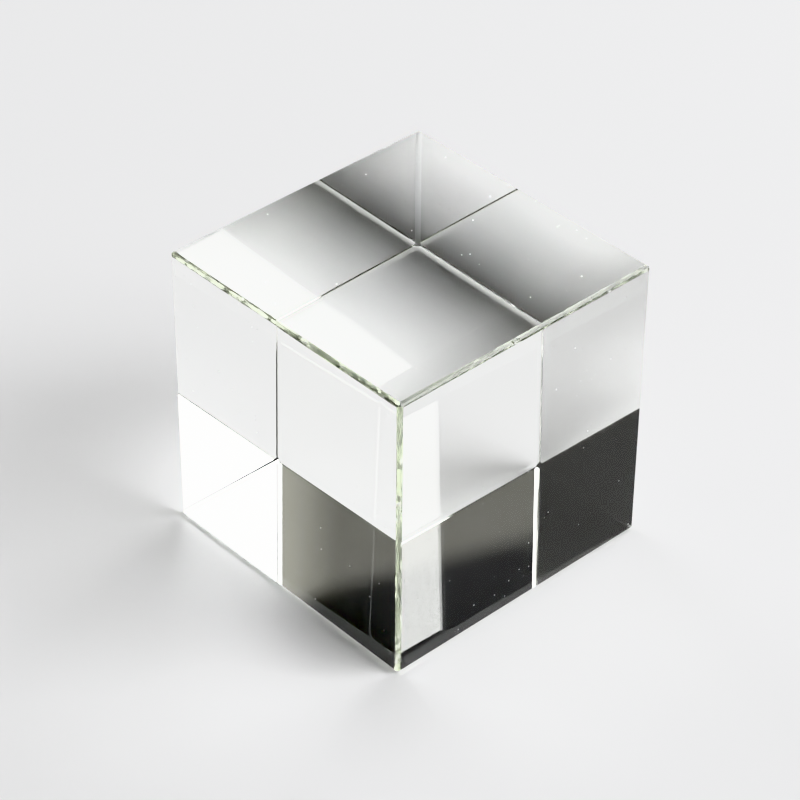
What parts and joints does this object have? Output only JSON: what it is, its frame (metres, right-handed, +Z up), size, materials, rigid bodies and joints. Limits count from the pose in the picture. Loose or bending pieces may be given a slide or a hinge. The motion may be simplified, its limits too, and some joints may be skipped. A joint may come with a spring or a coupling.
{
  "type": "optical glass cube",
  "caption": "Solid cube of clear optical glass with flat polished faces, narrow bevelled edges and blunted corners, stood in a shot or on a table to bend and mirror light.",
  "frame": {"origin": "centre of the face that the block rests on", "axes": "+Z up, X and Y square to the side faces"},
  "size_m": [0.05, 0.05, 0.05],
  "materials": {
    "optical_glass": "clear crown glass, refractive index 1.517, optically polished on every face, bevel and corner facet"
  },
  "bodies": {
    "root": {"glass_block": "optical_glass"}
  },
  "joints": []
}
